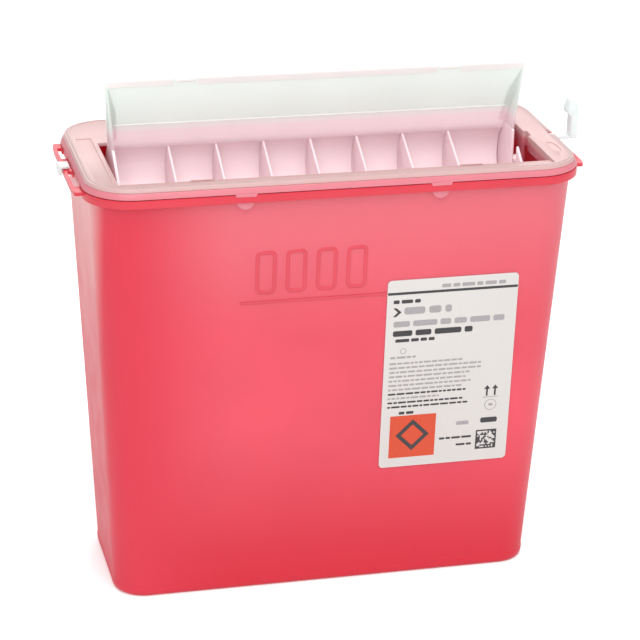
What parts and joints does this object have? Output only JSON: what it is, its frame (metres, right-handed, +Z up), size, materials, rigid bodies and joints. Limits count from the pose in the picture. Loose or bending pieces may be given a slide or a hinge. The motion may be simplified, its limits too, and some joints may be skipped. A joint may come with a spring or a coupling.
{
  "type": "sharps container",
  "caption": "Free-standing sharps container: tapered translucent tub, fitted lid with a stepped opening, tipping tray door, closure latch and side clip.",
  "frame": {"origin": "centre of the flat base, on the surface that the container stands on", "axes": "+X to the right along the long side, +Y to the back along the short side, +Z up; the label faces -Y"},
  "size_m": [0.2759, 0.1206, 0.273],
  "materials": {
    "tub": "translucent red moulded polypropylene, satin gloss",
    "lid": "natural translucent polypropylene, fine satin",
    "door": "natural translucent polypropylene, fine satin",
    "closure": "natural translucent polypropylene, thicker section",
    "label": "printed label film, semi-matte"
  },
  "bodies": {
    "container": {"fill_line": "tub", "front_label": "label", "lid_detent_left": "lid", "lid_detent_right": "lid", "lid_end_wall_left": "lid", "lid_end_wall_right": "lid", "lid_front_wall": "lid", "lid_panel": "lid", "lid_skirt": "lid", "lid_snap_front_left": "lid", "lid_snap_front_right": "lid", "lid_snap_rear_left": "lid", "lid_snap_rear_right": "lid", "tub_rim": "tub", "tub_shell": "tub"},
    "door": {"door_flap": "door", "door_gusset_left": "door", "door_gusset_right": "door", "door_tab_left": "door", "door_tab_right": "door", "pivot_pin_left": "door", "pivot_pin_right": "door", "tray_end_wall_left": "door", "tray_end_wall_right": "door", "tray_rib_1": "door", "tray_rib_2": "door", "tray_rib_3": "door", "tray_rib_4": "door", "tray_rib_5": "door", "tray_rib_6": "door", "tray_rib_7": "door", "tray_trough": "door"},
    "latch": {"latch_arm": "closure", "latch_hook": "closure"},
    "clip": {"side_clip": "closure"}
  },
  "joints": [
    {"name": "door_tilt", "type": "hinge", "parent": "container", "child": "door", "pos_m": [0, 0.0049, 0.2165], "axis": [1, 0, 0], "range_deg": [0, 65.3]},
    {"name": "latch_fold", "type": "hinge", "parent": "container", "child": "latch", "pos_m": [0.12505, -0.004, 0.2332], "axis": [0, -1, 0], "range_deg": [0, 180]},
    {"name": "clip_lift", "type": "hinge", "parent": "container", "child": "clip", "pos_m": [-0.1299, 0.00075, 0.2298], "axis": [0, 1, 0], "range_deg": [0, 85]}
  ]
}
